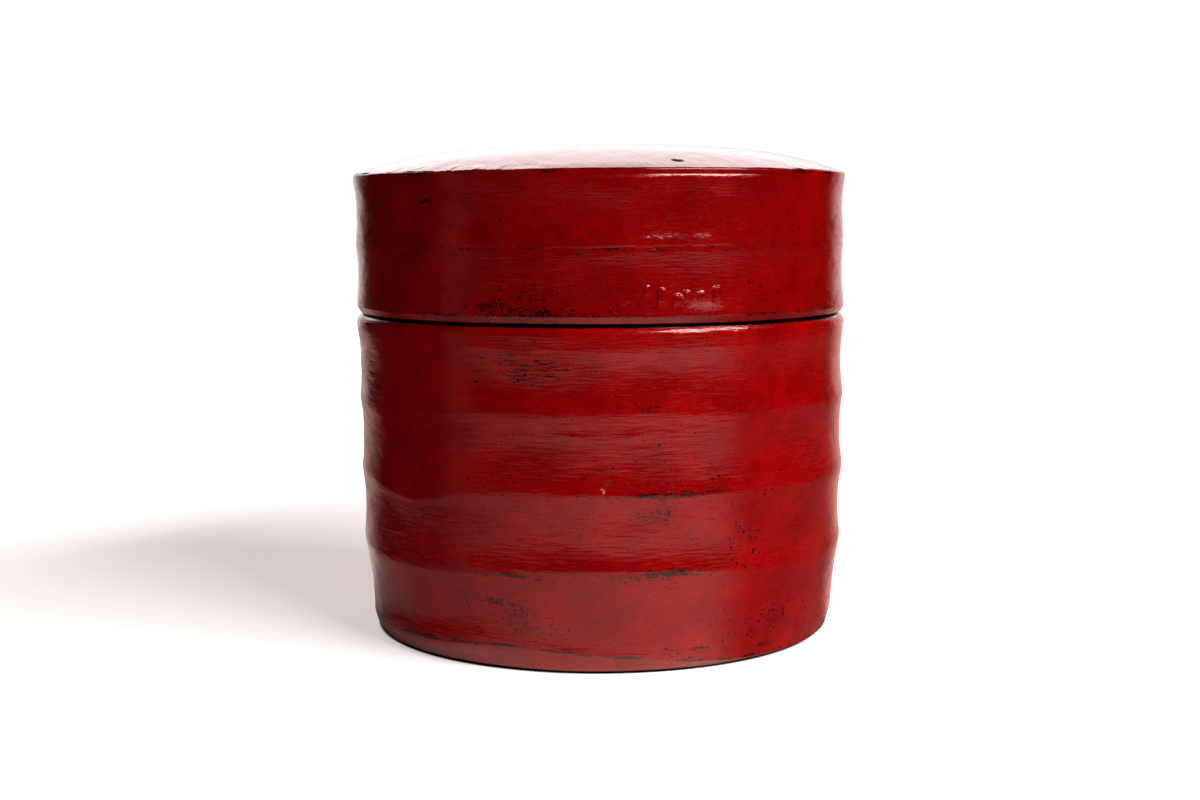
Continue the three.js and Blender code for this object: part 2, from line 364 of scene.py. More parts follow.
ridge_radius, _, ridge_level = reach("foot_band")
collar_radius, collar_low, collar_high = reach("mouth_collar")
board_radius, board_low, board_high = reach("base_board")
bore_radius = collar_radius + GLUE_GAP
tongue_radius = bore_radius + TONGUE
well_radius = board_radius + GLUE_GAP
lower_ridge = swing(*LOWER_RIDGE)
flat = np.zeros(COLUMNS)


def stretch(start, end, fade=2.5):
    """1 between two azimuths in degrees, falling to 0 over a few degrees at both ends."""
    at = np.degrees(azimuth)
    return ramp(at, start - fade, start + fade) * (1 - ramp(at, end - fade, end + fade))


def hump(at, wide, high):
    """A rise round one azimuth in degrees: high * exp(-((azimuth - at) / wide)^2)."""
    return high * np.exp(-((np.degrees(azimuth) - at) / wide) ** 2)


def round_from(at, radius):
    """Way round the wall from an azimuth in degrees, at most half a turn to either side."""
    return np.angle(np.exp(1j * (azimuth - math.radians(at)))) * radius


def patch(level, at, z, wide, tall):
    """A soft spot on the wall, 1 at azimuth `at` and level z: exp(-(across / wide)^2 - (up / tall)^2)."""
    return np.exp(-(round_from(at, ridge_radius) / wide) ** 2 - ((level - z) / tall) ** 2)


def patches(level, spots, joined=np.max):
    """Soft spots given as (azimuth, level, half width, half height, strength). At each place the strongest
    counts, or their sum."""
    return joined([strength * patch(level, *spot) for *spot, strength in spots], axis=0)


def strewn(level, line, tall, count, seed):
    """Random soft spots within about that height of a line, on the sides and back of the box."""
    draw = np.random.default_rng(seed)
    at, z = draw.uniform(80, 280, count), draw.normal(line, tall, count)
    size = draw.uniform(3, 10, count), tall * draw.uniform(0.5, 1.2, count), draw.uniform(0.35, 0.6, count)
    return patches(level, list(zip(at, z, *size)))


def wear_line(level, line, tall, gate):
    """Wear along a line of the wall: exp(-(up / tall)^2) from that line, open where the gate is."""
    return np.exp(-((level - line) / tall) ** 2) * gate


def random_gate(seed, turns=12, bias=0.15):
    """Where a line is worn round the box: open in uneven stretches, bias + half of random waves, 0 to 1."""
    return np.clip(bias + 0.5 * waves(azimuth, flat, turns, 1, seed, 20), 0, 1)


def hoop(name, outside, rows, marks, material):
    """Mesh of a hoop. Rows that close its section are added to the outside's own, with black undercoat and
    no marks on them."""
    count = len(outside[0])
    full = {}
    for mark in MARKS:
        values = marks.get(mark, 0.0) + np.zeros((count, COLUMNS))
        closing = np.full((len(rows), COLUMNS), BLACKENED if mark == "bare_and_shade" else 0.0)
        full[mark] = np.vstack([values, closing])
    corners = [0] + list(range(count - 1, count + len(rows)))
    return revolved(name, list(zip(*outside)) + rows, corners, full, material)


heel_rise = np.linspace(0, 1, HEEL_ROWS)
heel = RING_RADIUS + (HEEL_RADIUS - RING_RADIUS) * heel_rise ** 0.7, HEEL_LEVEL * heel_rise
rise = np.linspace(0, 1, BEVEL_ROWS)[1:]
bevel = HEEL_RADIUS + (BEVEL_RADIUS - HEEL_RADIUS) * rise, HEEL_LEVEL + (BEVEL_LEVEL - HEEL_LEVEL) * rise
share = np.linspace(0, 1, SKIN_ROWS - BEVEL_ROWS)[1:]
draw_in = BEVEL_RADIUS + (ridge_radius - BEVEL_RADIUS) * share - FOOT_HOLLOW * hollow(share ** 0.8)
profile_radius = np.concatenate([heel[0], bevel[0], draw_in])
profile_level = np.concatenate([heel[1], bevel[1], BEVEL_LEVEL + (ridge_level - BEVEL_LEVEL) * share])
outside = skin(profile_radius, profile_level, flat, lower_ridge, BODY_SEED)
arris = ARRIS_STEP * np.tanh(ARRIS_STEEP * np.sin(ARRIS_TURN - azimuth))
arris += swing(ARRIS_SWING) + hump(*ARRIS_HUMP)
follows = np.interp(profile_level, [HEEL_LEVEL, BEVEL_LEVEL, ARRIS_FADED], [0, 1, 0])
outside[1][:] += follows[:, None] * arris
level = outside[1]
above = level - BEVEL_LEVEL - arris
flared = np.exp(-(above / np.where(above > 0, FLARE_ABOVE, FLARE_BELOW)) ** 2) * stretch(*FLARED)
outside[0][HEEL_ROWS:] += FLARE * flared[HEEL_ROWS:]
outside[0][-len(share):] -= LEFT_HOLLOW * hollow(share)[:, None] * stretch(*LEFT_HOLLOWED)
outside[0][:] -= TOE_IN * (1 - ramp(level, 0, TOE_HEIGHT)) * stretch(*TOED_IN)
chips = 0.16 + 0.42 * random_gate(61, 70, 0.25)
foot_wear_and_heel_shade = wear_line(level, BEVEL_LEVEL + arris + 0.3, 0.55, chips) + patches(level, FOOT_WEAR)
foot_wear_and_heel_shade += patches(level, LOWER_RIDGE_WEAR)
foot_wear_and_heel_shade += strewn(level - lower_ridge, ridge_level - 0.3, 1.2, 16, 101)
foot_wear_and_heel_shade += wear_line(level, ridge_level + lower_ridge - 0.5, 0.7, 0.32 * random_gate(63))
# The heel is black: undercoat, and painted shade where the foot meets the paper.
foot_wear_and_heel_shade = np.maximum(foot_wear_and_heel_shade, UNDERCOAT_AS_SHADE * (1 - ramp(level, HEEL_LEVEL - 0.1, HEEL_LEVEL + 0.4)))
foot_pits = STRAY_PITS + patches(level, FOOT_PITS, np.sum) + 0.8 * strewn(level, 15, 5, 5, 106)
foot_cracks = patches(level, FOOT_CRACKS, np.sum)
# A pale line along the heel, across the front only: painted sheen of the paper, in the colour of rubbed
# lacquer.
heel_painted_sheen = wear_line(level, HEEL_LEVEL + 0.9, 0.45, 0.75 * stretch(*HEEL_PAINTED_SHEEN))
rows = [
    ring(tongue_radius, ridge_level, lower_ridge),
    ring(tongue_radius, ridge_level - LAP_HEIGHT, lower_ridge),
    ring(bore_radius, ridge_level - LAP_HEIGHT, lower_ridge),
    ring(well_radius, board_high),
    ring(well_radius, LEDGE_HEIGHT),
    ring(well_radius - LEDGE_WIDTH, LEDGE_HEIGHT),
    ring(well_radius - LEDGE_WIDTH, 0),
]
marks = {"bare_and_shade": foot_wear_and_heel_shade, "pitted": foot_pits, "cracked": foot_cracks, "rubbed_and_sheen": heel_painted_sheen}
foot_hoop = hoop("foot_hoop", outside, rows, marks, body_lacquer)
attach(foot_hoop, "box")
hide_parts("foot_band")

# Lower and upper hoops
# The two middle hoops of the body, of bent splint under the same lacquer. Each stands in the rebate of the
# one below with a tongue, and is hollowed by scraping between its ridges. The ridges dip on the left, and
# the hollow lies low at the front and high on the left.

HOLLOW_DEPTH = 1.2
MIDDLE_RIDGE = (3, 0.5, -20)
MIDDLE_DIP = (-47, 15, -5.2)
UPPER_RIDGE = (3, 0.6, -8)
UPPER_DIP = (-57, 14, -4.0)
SLUNG_LOW = (-6, 34, 9)
SLUNG_HIGH = (-80, -27, 9)
MIDDLE_RIDGE_WEAR = (
    (9.5, 66.9, 5, 1.2, 0.6), (14, 66.4, 7, 1.2, 0.5), (19, 66.2, 7, 1.1, 0.55), (25, 67.3, 7, 0.45, 0.5),
    (16, 66.5, 14, 2.4, 0.33), (13, 59, 10, 3.0, 0.28), (16, 61, 5, 2, 0.28))
PIT_RING_AT = 33.4
PIT_RING_LEVEL = 45.3
PIT_RING_RADIUS = 5
PIT_RING_WIDTH = 2.2
PIT_RING_FLATNESS = 0.8
LOWER_PITS = (28, 60, 20, 12)
FOLD_LEVEL = 88.1
FOLD_HEIGHT = 1.6
FOLD_DEPTH = 0.22
FOLDED = (-27, 12, 8)
UPPER_PITS = (20, 71, 18, 4)
UPPER_CHIP = (0.9, 68.4, 0.35, 0.7, 1.6), (0.5, 69.4, 0.6, 0.3, 1.3), (1.5, 71, 3, 4, 0.4)

middle_radius, _, middle_level = reach("lower_band")
upper_radius, _, upper_level = reach("upper_band")
middle_ridge = swing(MIDDLE_RIDGE) + hump(*MIDDLE_DIP)
upper_ridge = swing(UPPER_RIDGE) + hump(*UPPER_DIP)


def tongue_rows(level, lift, bore, tongue):
    """Rows of a hoop's tongue, from the bore's lower end to the ridge."""
    tip = level - LAP_HEIGHT + GLUE_GAP
    return [ring(bore, tip, lift), ring(tongue - GLUE_GAP, tip, lift), ring(tongue - GLUE_GAP, level, lift)]


def rebate_rows(level, lift, bore, tongue):
    """Rows of a hoop's rebate, from the ridge to the bore's upper end."""
    floor = level - LAP_HEIGHT
    return [ring(tongue, level, lift), ring(tongue, floor, lift), ring(bore, floor, lift)]


share = np.linspace(0, 1, SKIN_ROWS)
up = share[:, None]
deeper = 1 + 0.1 * waves(azimuth, flat, 3, 1, 5, 8)
lowered = (0.1 + 0.9 * stretch(*SLUNG_LOW)) * (1 - up)
raised = 0.9 * stretch(*SLUNG_HIGH) * up
slung = up + up * (1 - up) * (lowered - raised)

profile_radius = ridge_radius + (middle_radius - ridge_radius) * share
profile_level = ridge_level + (middle_level - ridge_level) * share
outside = skin(profile_radius, profile_level, lower_ridge, middle_ridge, BODY_SEED)
outside = outside[0] - HOLLOW_DEPTH * deeper * hollow(slung), outside[1]
level = outside[1]
middle_wear = 0.28 * random_gate(65)
lower_bare = wear_line(level, middle_level + middle_ridge - 0.4, 0.6, middle_wear)
lower_bare += patches(level, MIDDLE_RIDGE_WEAR) + patches(level, LOWER_RIDGE_WEAR)
lower_bare += strewn(level - lower_ridge, ridge_level - 0.3, 1.2, 16, 101)
lower_bare += strewn(level - middle_ridge, middle_level - 0.3, 1.2, 16, 102)
ring_away = np.hypot(round_from(PIT_RING_AT, ridge_radius), (level - PIT_RING_LEVEL) * PIT_RING_FLATNESS)
lower_pits = STRAY_PITS + 0.9 * np.exp(-((ring_away - PIT_RING_RADIUS) / PIT_RING_WIDTH) ** 2)
lower_pits += 0.12 * patch(level, *LOWER_PITS) + 0.8 * strewn(level, 50, 6, 5, 107)
rows = rebate_rows(middle_level, middle_ridge, bore_radius, tongue_radius)
rows += tongue_rows(ridge_level, lower_ridge, bore_radius, tongue_radius)
lower_hoop = hoop("lower_hoop", outside, rows, {"bare_and_shade": lower_bare, "pitted": lower_pits}, body_lacquer)
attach(lower_hoop, "box")
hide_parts("lower_band")

profile_radius = middle_radius + (upper_radius - middle_radius) * share
profile_level = middle_level + (upper_level - middle_level) * share
outside = skin(profile_radius, profile_level, middle_ridge, upper_ridge, BODY_SEED)
outside = outside[0] - HOLLOW_DEPTH * deeper * hollow(slung), outside[1]
level = outside[1]
fold = FOLD_DEPTH * (0.4 + random_gate(97, 30, 0.4)) * stretch(*FOLDED)
fold_line = FOLD_LEVEL + 0.5 * waves(azimuth, flat, 40, 1, 98, 20)
outside[0][:] += wear_line(level, fold_line, FOLD_HEIGHT, fold)
upper_wear = 0.26 * random_gate(67)
upper_bare = wear_line(level, upper_level + upper_ridge - 0.3, 0.6, upper_wear)
upper_bare += patches(level, MIDDLE_RIDGE_WEAR)
upper_bare += strewn(level - middle_ridge, middle_level - 0.3, 1.2, 16, 102)
upper_bare += strewn(level - upper_ridge, upper_level, 1.0, 12, 103)
upper_chip = patches(level, UPPER_CHIP, np.sum)
upper_pits = 0.002 + 0.2 * patch(level, *UPPER_PITS) + 0.6 * strewn(level, 82, 7, 4, 108)
rows = rebate_rows(upper_level, upper_ridge, bore_radius, tongue_radius)
rows += tongue_rows(middle_level, middle_ridge, bore_radius, tongue_radius)
marks = {"bare_and_shade": upper_bare, "pitted": upper_pits, "rubbed_and_sheen": upper_chip}
upper_hoop = hoop("upper_hoop", outside, rows, marks, body_lacquer)
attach(upper_hoop, "box")
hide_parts("upper_band")

# Rim hoop
# The top hoop of the body, of bent splint in the same lacquer, its tongue in the rebate of the upper hoop.
# Its mouth is rounded outside and flat inside, where the lid's rim comes to lie, and black under the lid;
# the black reaches a little out from under the lid, as painted shade of the seam. Fine cracks and pits run
# along it on the left.

RIM_ROUND_WIDTH = 2.8
RIM_ROUND_HEIGHT = 4.0
RIM_ROUND_ROWS = 20
MOUTH_ROWS = 4
# Level above which the rim is black, as painted shade of the seam.
SEAM_PAINTED_SHADE = 127.3
MOUTH_UNEVEN = 0.014
RIM_WEAR = (10.5, 98.6, 5, 1.4)
RIM_CRACKS = (-21, 114, 20, 5, 0.55), (-12, 111, 14, 4.5, 0.65)
RIM_PITS = (-20, 111, 18, 6)

mouth_radius, _, rim_level = reach("rim_band")
top_rows = RIM_ROUND_ROWS + MOUTH_ROWS
share = np.linspace(0, 1, SKIN_ROWS - top_rows)
turn = np.linspace(0, math.pi / 2, RIM_ROUND_ROWS + 1)[1:]
round_low = rim_level - RIM_ROUND_HEIGHT
profile_radius = np.concatenate([
    upper_radius + (mouth_radius - upper_radius) * share,
    mouth_radius - RIM_ROUND_WIDTH * (1 - np.cos(turn)),
    np.linspace(mouth_radius - RIM_ROUND_WIDTH, bore_radius, MOUTH_ROWS + 1)[1:]])
profile_level = np.concatenate([
    upper_level + (round_low - upper_level) * share,
    round_low + RIM_ROUND_HEIGHT * np.sin(turn),
    np.full(MOUTH_ROWS, rim_level)])
outside = skin(profile_radius, profile_level, upper_ridge, flat, BODY_SEED)
ends = 0.85 + 0.15 * np.sin(azimuth) ** 2
dip = np.vstack([hollow(np.clip(share[:, None] / ends, 0, 1)), np.zeros((top_rows, COLUMNS))])
outside = outside[0] - HOLLOW_DEPTH * deeper * dip, outside[1]
rounded = slice(-top_rows, -MOUTH_ROWS)
outside[0][rounded] += MOUTH_UNEVEN * waves(azimuth, outside[1][rounded], 150, 3, 95, 60)
level = outside[1]
rim_wear_and_seam_shade = wear_line(level, upper_level + upper_ridge, 0.6, upper_wear) + 0.36 * patch(level, *RIM_WEAR)
rim_wear_and_seam_shade += strewn(level - upper_ridge, upper_level, 1.0, 12, 103)
# Near the seam the rim is black: undercoat under the lid, and painted shade of the seam.
rim_wear_and_seam_shade = np.maximum(rim_wear_and_seam_shade, UNDERCOAT_AS_SHADE * ramp(level, SEAM_PAINTED_SHADE - 0.2, SEAM_PAINTED_SHADE + 0.2))
rim_cracks = patches(level, RIM_CRACKS, np.sum) + strewn(level, 112, 4, 5, 111)
rim_pits = STRAY_PITS + 0.25 * patch(level, *RIM_PITS) + 0.6 * strewn(level, 112, 5, 5, 109)
rows = [ring(bore_radius, rim_level - 1)]
rows += tongue_rows(upper_level, upper_ridge, bore_radius, tongue_radius)
marks = {"bare_and_shade": rim_wear_and_seam_shade, "pitted": rim_pits, "cracked": rim_cracks}
rim_hoop = hoop("rim_hoop", outside, rows, marks, body_lacquer)
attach(rim_hoop, "box")
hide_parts("rim_band")

# Base board
# A round wooden board with a small chamfer, dropped into the foot hoop from above and lying on its ledge.
# It is finished in plain black lacquer, which looks satin, with a brown cast where it is thin.

BLACK = "#0b0908"
BLACK_BROWN = "#1c110d"
BLACK_IOR = 1.5
BLACK_ROUGHNESS = (0.25, 0.5)
BLACK_STREAK_LENGTH = 40
BLACK_STREAK_HEIGHT = 1.2
BLACK_CLOUD = 25
BOARD_CHAMFER = 0.8
FACE_ROWS = 12


def black_lacquer(name):
    """Black lacquer brushed thin on splint and board: two blacks mixed by noise, and streaky gloss."""
    material = bpy.data.materials.new(name)
    tree = blank(material)
    place = node(tree, "TexCoord", out="Object")
    scale = [1 / (size * MM) for size in (BLACK_STREAK_LENGTH, BLACK_STREAK_LENGTH, BLACK_STREAK_HEIGHT)]
    spread = node(tree, "Mapping", {"Vector": place, "Scale": scale})
    streak = node(tree, "TexNoise", {"Vector": spread, "Scale": 1.0, "Detail": 4})
    cloud = node(tree, "TexNoise", {"Vector": place, "Scale": 1 / (BLACK_CLOUD * MM), "Detail": 5})
    share = node(tree, "MapRange", (cloud, 0.35, 0.7))
    colour = node(tree, "Mix", {0: share, 6: linear(BLACK), 7: linear(BLACK_BROWN)}, 2, data_type="RGBA")
    gloss = node(tree, "MapRange", (streak, 0.0, 1.0, *BLACK_ROUGHNESS))
    bump = node(tree, "Bump", {"Strength": 0.3, "Distance": RELIEF * MM, "Height": streak})
    shader = node(tree, "BsdfPrincipled", {
        "Base Color": colour, "Roughness": gloss, "IOR": BLACK_IOR, "Normal": bump})
    node(tree, "OutputMaterial", {"Surface": shader}, None)
    return material


plain_black = black_lacquer("black_lacquer")
face = (board_radius - BOARD_CHAMFER) * np.linspace(0, 1, FACE_ROWS)
rows = [ring(r, board_low) for r in face]
rows += [ring(board_radius, board_low + BOARD_CHAMFER), ring(board_radius, board_high - BOARD_CHAMFER)]
rows += [ring(r, board_high) for r in face[::-1]]
corners = list(range(FACE_ROWS - 1, FACE_ROWS + 3))
base_disc = revolved("base_disc", rows, corners, {}, plain_black)
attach(base_disc, "box")
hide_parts("base_board")

# Collar
# A thin hoop of splint in the same black lacquer, bonded inside the rim hoop. It stands up into the lid and
# keeps it in place, and its upper edge is rounded so that the lid slides on.

COLLAR_THICKNESS = 2.4
COLLAR_ROUND = 1.0
COLLAR_ROWS = 12

inner = collar_radius - COLLAR_THICKNESS
round_low = collar_high - COLLAR_ROUND
turn = np.linspace(0, math.pi / 2, 7)
side_levels = np.linspace(collar_low, round_low, COLLAR_ROWS)
rows = [ring(collar_radius, z) for z in side_levels]
rows += [ring(collar_radius - COLLAR_ROUND * (1 - math.cos(t)), round_low + COLLAR_ROUND * math.sin(t))
         for t in turn[1:]]
rows += [ring(inner + COLLAR_ROUND * (1 - math.sin(t)), round_low + COLLAR_ROUND * math.cos(t))
         for t in turn]
rows += [ring(inner, z) for z in side_levels[-2::-1]]
collar_hoop = revolved("collar_hoop", rows, [0, -1], {}, plain_black)
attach(collar_hoop, "box")
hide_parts("mouth_collar")

# Lid rim hoop
# The lower hoop of the lid, of bent splint in red lacquer painted deeper than the body's, as painted shade
# on the upper part of the box. Its lip is bevelled, and the bevel's edge is chipped to the black all along.
# Below the lip's turn it is black, as painted shade of the seam, and a dark line along its ridge is painted
# shade of the crease. Runs of red lacquer have set near the lip on one side.

LIP_LEVEL = 131.0
LIP_TURN = 128.9
# Level below which the lip is black, as painted shade of the seam.
LIP_PAINTED_SHADE = 128.55
LIP_PROFILE = (97.4, 128.3), (98.0, 128.4), (98.5, 128.6), (98.8, 128.9)
SEAT_ROWS = 5
LIP_ROWS = 10
LIP_BEVEL_ROWS = 13
LID_SEED = 31
# The lid's reds are darker than the body's: painted shade on the upper part of the box.
SHADED_LID_REDS = "#7c0001", "#940203"
LID_HOLLOW = 0.85
LID_CLEARANCE = 0.6
LID_RIDGE_IN = 0.4
LID_RIDGE = (2, -0.8, 0), (5, 0.25, 20)
CREASE_DEPTH = 0.2
CREASE_HEIGHT = 0.85
# Runs of lacquer as (azimuth, level of the top, half width, length, thickness).
RUNS = (
    (10.0, 142.6, 1.3, 5.5, 0.3), (13.0, 141.6, 1.7, 8.0, 0.5), (16.6, 139.4, 2.0, 5.0, 0.45),
    (18.6, 140.6, 1.3, 5.0, 0.45), (21.9, 140.2, 1.7, 6.0, 0.4), (25.6, 142.0, 2.1, 7.0, 0.55))
LID_RIDGE_WEAR = (
    (-30, 155.0, 8, 0.5, 0.42), (-4, 153.3, 1.3, 0.7, 0.8), (2.5, 155.2, 3, 0.5, 0.5),
    (13.5, 154.9, 7, 0.4, 0.42), (-33, 154.5, 9, 1.5, 0.2))
LID_RIM_WEAR = (
    (-24, 135, 6, 1.8, 0.5), (-20, 134, 14, 3, 0.34), (-12, 132.6, 9, 1.8, 0.42),
    (-3, 132.4, 10, 1.2, 0.36), (-15, 139, 14, 4, 0.2))
LID_RIM_PITS = (
    (-17, 132.5, 18, 3.5, 0.5), (-20, 138, 18, 6, 0.22), (40, 140, 20, 8, 0.1), (2, 132, 16, 2, 0.3))
LID_RIM_RUBBED = (22.5, 135, 10, 3.5, 0.62), (6, 136, 5, 2, 0.4)

lid_radius, lid_low, lid_ridge_level = reach("lid_rim_band")
shoulder_radius, _, crown_low = reach("lid_shoulder_band")
lid_bore = collar_radius + LID_CLEARANCE
lid_tongue = lid_bore + TONGUE
lid_ridge_radius = lid_radius - LID_RIDGE_IN
lid_ridge = swing(*LID_RIDGE)
shaded_lid_lacquer = red_lacquer("red_lacquer_on_lid_with_painted_shade", (True, True, False), SHADED_LID_REDS)


def runs_of_lacquer(level):
    """Runs that set on the wall: flat tongues with a round top and a steep edge, thinning out downwards.
    Each is thickness * ramp below its arched top * ramp inside its sides, and the thickest counts."""
    total = np.zeros_like(level)
    for at, top, wide, long, high in RUNS:
        across = round_from(at, lid_radius)
        arch = wide - np.sqrt(np.maximum(wide ** 2 - across ** 2, 0))
        below = top - level - arch
        tongue = ramp(below, -0.3, 0.65) * (1 - ramp(below, 0.4 * long, long))
        total = np.maximum(total, high * tongue * (1 - ramp(np.abs(across), wide - 0.5, wide + 0.4)))
    return total


seat = np.linspace(lid_bore, LIP_PROFILE[0][0], SEAT_ROWS + 1)[:-1]
lip_steps = np.linspace(0, len(LIP_PROFILE) - 1, LIP_ROWS)
lip = [np.interp(lip_steps, range(len(LIP_PROFILE)), column) for column in zip(*LIP_PROFILE)]
rise = np.linspace(0, 1, LIP_BEVEL_ROWS + 1)[1:]
low_rows = SEAT_ROWS + LIP_ROWS + LIP_BEVEL_ROWS
# Rows of the wall stand closer where the runs have set.
share = np.interp(np.linspace(0, 1, SKIN_ROWS + 1 - low_rows), [0, 0.06, 0.62, 1], [0, 0.07, 0.47, 1])[1:]
profile_radius = np.concatenate([
    seat, lip[0], lip[0][-1] + (lid_radius - 0.1 - lip[0][-1]) * rise,
    lid_radius + (lid_ridge_radius - lid_radius) * share])
profile_level = np.concatenate([
    np.full(SEAT_ROWS, lid_low), lip[1], LIP_TURN + (LIP_LEVEL - LIP_TURN) * rise,
    LIP_LEVEL + (lid_ridge_level - LIP_LEVEL) * share])
outside = skin(profile_radius, profile_level, flat, lid_ridge, LID_SEED)
dip = np.concatenate([np.zeros(low_rows), hollow(share)])[:, None]
outside = outside[0] - LID_HOLLOW * dip, outside[1]
crease = CREASE_DEPTH * (0.4 + random_gate(79))
outside[0][:] -= wear_line(outside[1], lid_ridge_level + lid_ridge, CREASE_HEIGHT, crease)
outside[0][:SEAT_ROWS] = seat[:, None]
runs = runs_of_lacquer(outside[1])
on_wall = slice(SEAT_ROWS + LIP_ROWS, None)
outside[0][on_wall] += runs[on_wall]
level = outside[1]
# A dark line along the ridge, with wear in it: painted shade of the crease.
lid_crease_shade_and_wear = 0.14 + 0.18 * random_gate(73)
lip_wear = 0.16 + 0.35 * random_gate(71, 70, 0.25)
lid_rim_wear_and_shade = wear_line(level, LIP_LEVEL + 0.2, 0.6, lip_wear)
lid_rim_wear_and_shade += wear_line(level, lid_ridge_level + lid_ridge, 0.5, lid_crease_shade_and_wear)
lid_rim_wear_and_shade += patches(level, LID_RIDGE_WEAR) + patches(level, LID_RIM_WEAR)
lid_rim_wear_and_shade += strewn(level - lid_ridge, lid_ridge_level, 0.6, 14, 104)
lid_rim_wear_and_shade += strewn(level, LIP_LEVEL + 2, 1.5, 10, 105) + 0.38 * runs
# Below the lip's turn the lid is black: painted shade of the seam.
lip_painted_shade = UNDERCOAT_AS_SHADE * (1 - ramp(level, LIP_PAINTED_SHADE - 0.2, LIP_PAINTED_SHADE + 0.2))
lid_rim_wear_and_shade = np.maximum(lid_rim_wear_and_shade, lip_painted_shade)
lid_rim_pits = STRAY_PITS + patches(level, LID_RIM_PITS, np.sum) + 0.6 * strewn(level, 137, 4, 6, 110)
lid_rim_rubbed = patches(level, LID_RIM_RUBBED, np.sum)
rows = rebate_rows(lid_ridge_level, lid_ridge, lid_bore, lid_tongue)
marks = {"bare_and_shade": lid_rim_wear_and_shade, "pitted": lid_rim_pits, "rubbed_and_sheen": lid_rim_rubbed}
lid_rim_hoop = hoop("lid_rim_hoop", outside, rows, marks, shaded_lid_lacquer)
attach(lid_rim_hoop, "lid")
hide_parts("lid_rim_band")

# Lid shoulder hoop
# The upper hoop of the lid, of bent splint in the same deep red, lapped into the rim hoop and carrying the
# crown on its flat upper end. That end steps in a little right of the front, and the wall is dented there.

STEP_IN = 0.5
STEPPED_IN = (-2, 37, 4)
CROWN_WAVE = (1, 0.3, 90), (2, 0.2, 60), (3, 0.15, 10)
DENTS = (
    (12.2, 160.0, 7, 1.4, 0.06), (20.4, 158.2, 5, 1.6, 0.06), (23.1, 160.8, 3, 1.2, 0.06),
    (4.4, 166, 4, 1.5, 0.04))
SHOULDER_WEAR = (-40, 172.5, 4, 1.0)
SHOULDER_RUBBED = (14, 160, 9, 1.8, 0.5), (22, 160, 5, 2, 0.5)

share = np.linspace(0, 1, SKIN_ROWS)
crown_wave = swing(*CROWN_WAVE)
profile_radius = lid_ridge_radius + (shoulder_radius - lid_ridge_radius) * share
profile_radius -= 0.1 * ramp(share, 0.8, 1.0)
profile_level = lid_ridge_level + (crown_low - lid_ridge_level) * share
outside = skin(profile_radius, profile_level, lid_ridge, crown_wave, LID_SEED)
step_in = STEP_IN * stretch(*STEPPED_IN)
rounded = np.clip((share - 0.92) / 0.08, 0, 1)[:, None] ** 2
outside = outside[0] - LID_HOLLOW * hollow(share)[:, None] - step_in * rounded, outside[1]
level = outside[1]
outside[0][:] -= wear_line(level, lid_ridge_level + lid_ridge, CREASE_HEIGHT, crease)
outside[0][:] += patches(level, DENTS) * waves(azimuth, level, 200, 1.6, 91)
# The crease's painted shade goes on along the ridge here too.
shoulder_wear_and_crease_shade = wear_line(level, lid_ridge_level + lid_ridge, 0.5, lid_crease_shade_and_wear)
shoulder_wear_and_crease_shade += patches(level, LID_RIDGE_WEAR) + 0.5 * patch(level, *SHOULDER_WEAR)
shoulder_wear_and_crease_shade += strewn(level - lid_ridge, lid_ridge_level, 0.6, 14, 104)
shoulder_rubbed = patches(level, SHOULDER_RUBBED, np.sum)
rows = [ring(lid_bore, crown_low, crown_wave)]
rows += tongue_rows(lid_ridge_level, lid_ridge, lid_bore, lid_tongue)
marks = {"bare_and_shade": shoulder_wear_and_crease_shade, "pitted": STRAY_PITS, "rubbed_and_sheen": shoulder_rubbed}
lid_shoulder_hoop = hoop("lid_shoulder_hoop", outside, rows, marks, shaded_lid_lacquer)
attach(lid_shoulder_hoop, "lid")
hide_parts("lid_shoulder_band")

# Crown
# The lid's domed wooden top, laid on the shoulder hoop with a spigot inside it. Its red lacquer, in the
# lid's darker reds that are painted shade, was brushed straight across, in strokes that left a coarse
# grain. Its edge is chipped, and a blister stands in front with a ring of painted shade round it.

CROWN_RISE = 11.5
CROWN_FULLNESS = 3.6
CROWN_THICKNESS = 5.5
CROWN_EDGE = 2.2
CROWN_ROUND = 1.2
CROWN_ROUND_HEIGHT = 1.0
CROWN_IN = 0.05
CROWN_DOWN = 0.25
CROWN_ROUGHENED = 0.4
CROWN_PITS = 0.01
TOP_ROWS = 88
EDGE_ROWS = 8
WORN_ROWS = 40
ARRIS = math.radians(60)
SPIGOT_DEPTH = 4.5
SPIGOT_WIDTH = 4.0
NICKED = (-85, -14, 6), (46, 85, 6)
NICK_DEPTH = 0.05
UNCHIPPED = (-2, 40)
SWELLS = 0.05
WRINKLES = 0.04
FINE_WRINKLES = 0.008
BLISTER_AT = math.radians(18.0)
BLISTER_OUT = 91.5
BLISTER_RADIUS = 2.4
BLISTER_HEIGHT = 0.55

crown_radius, _, _ = reach("lid_crown")
edge_level = crown_low + CROWN_EDGE
# The crown takes the lid's darker reds, which are painted shade.
shaded_crown_lacquer = red_lacquer("red_lacquer_on_crown_with_painted_shade", (True, False, False), SHADED_LID_REDS, CROWN_ROUGHENED)


def dome(radius):
    """Height of the crown above its edge: rise * (1 - (r / R)^fullness)."""
    return CROWN_RISE * (1 - (radius / crown_radius) ** CROWN_FULLNESS)


spigot = lid_bore - GLUE_GAP
under_radius = np.linspace(0, spigot - SPIGOT_WIDTH, 12)
arris_radius = crown_radius - CROWN_IN - CROWN_ROUND * (1 - math.cos(ARRIS))
